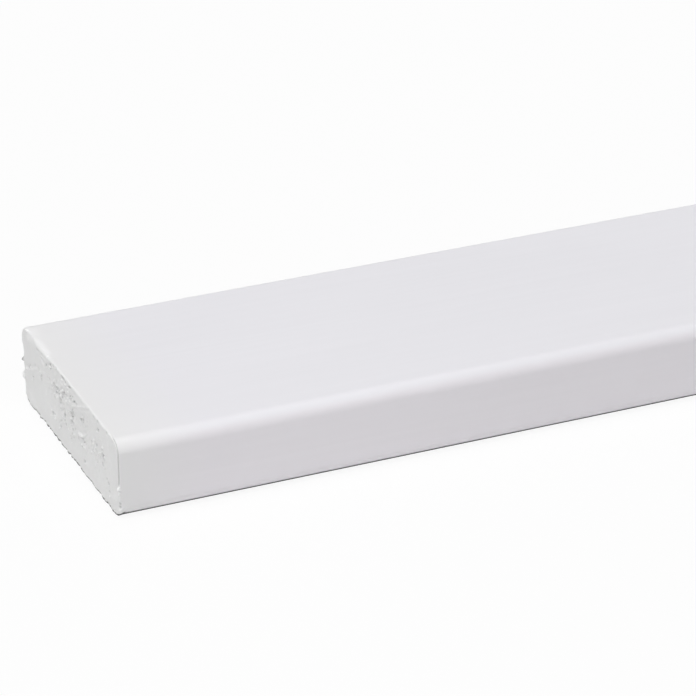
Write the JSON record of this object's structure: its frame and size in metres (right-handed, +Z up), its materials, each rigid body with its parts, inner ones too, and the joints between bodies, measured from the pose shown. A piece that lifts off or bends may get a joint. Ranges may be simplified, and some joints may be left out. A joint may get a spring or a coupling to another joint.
{
  "type": "hardwood batten",
  "caption": "Straight planed hardwood batten, white-primed all over, with four rounded long edges and square-sawn ends; lies flat, fixed as a trim, cover strip or spacer.",
  "frame": {"origin": "middle of the underside, the wide face the batten lies on", "axes": "+X along the grain from the sawn end that the picture shows towards the other end, +Y across the wide face from the near long edge to the far one, +Z up through the thickness"},
  "size_m": [2.4, 0.069, 0.02],
  "materials": {
    "primed_hardwood": "opaque white primer, satin on the planed faces and matt, pitted and uneven on the sawn ends"
  },
  "bodies": {
    "root": {"batten": "primed_hardwood"}
  },
  "joints": []
}
